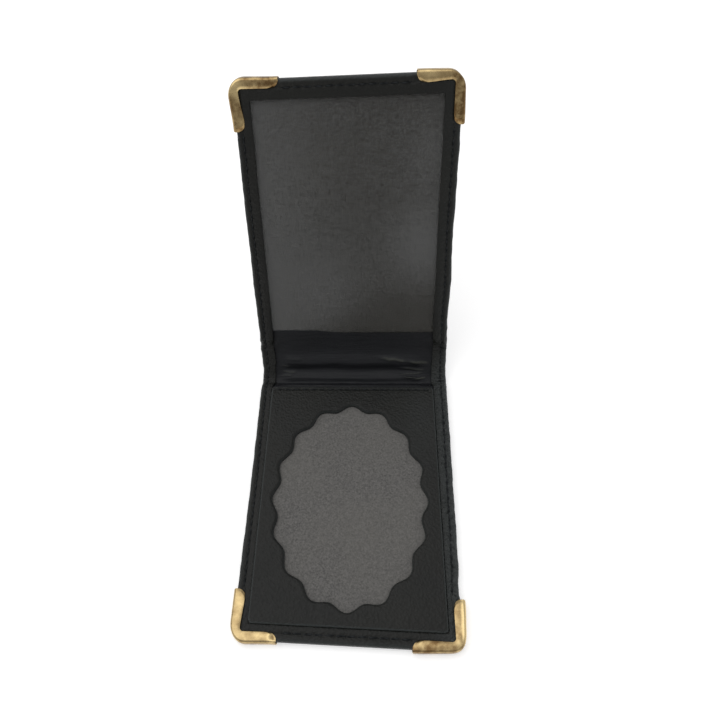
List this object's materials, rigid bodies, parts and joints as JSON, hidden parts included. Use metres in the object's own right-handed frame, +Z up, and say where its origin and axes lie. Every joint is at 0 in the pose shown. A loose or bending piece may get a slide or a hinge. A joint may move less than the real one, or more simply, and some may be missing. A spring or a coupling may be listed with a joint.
{
  "type": "id badge wallet",
  "caption": "Folding leather wallet with a lobed oval badge recess in one panel, a clear card window in the other and metal corner guards.",
  "frame": {"origin": "middle of the underside of the badge panel, on the surface that the panel lies on", "axes": "+X across the wallet to the viewer's right, +Y from the badge panel's outer edge to the spine, +Z up out of the badge panel's face"},
  "size_m": [0.0776, 0.1571, 0.1079],
  "materials": {
    "black_leather": "fine grained, satin",
    "lining_leather": "smooth, satin",
    "grey_suede": "short nap, matte",
    "grey_board": "matte",
    "clear_film": "clear, slightly hazy",
    "brass": "polished",
    "thread": "waxed thread"
  },
  "bodies": {
    "badge_panel": {"badge_side_cover": "black_leather", "badge_side_board": "grey_board", "badge_side_lining": "lining_leather", "badge_backing": "grey_suede", "badge_pad_core": "grey_board", "badge_pad_leather": "black_leather", "badge_side_thread": "thread", "pad_thread": "thread", "corner_lower_left": "brass", "corner_lower_right": "brass"},
    "spine": {"spine_cover": "black_leather", "spine_lining": "lining_leather", "spine_thread": "thread"},
    "card_panel": {"card_side_cover": "black_leather", "card_side_board": "grey_board", "card_side_lining": "lining_leather", "card_backing": "grey_suede", "card_window_film": "clear_film", "card_side_thread": "thread", "corner_upper_left": "brass", "corner_upper_right": "brass"}
  },
  "joints": [
    {"name": "lower_crease", "type": "hinge", "parent": "badge_panel", "child": "spine", "pos_m": [0, 0.0515, 0], "axis": [1, 0, 0], "range_deg": [-46, 44]},
    {"name": "upper_crease", "type": "hinge", "parent": "spine", "child": "card_panel", "pos_m": [0, 0.06227, 0.01115], "axis": [1, 0, 0], "range_deg": [-20, 70]}
  ]
}
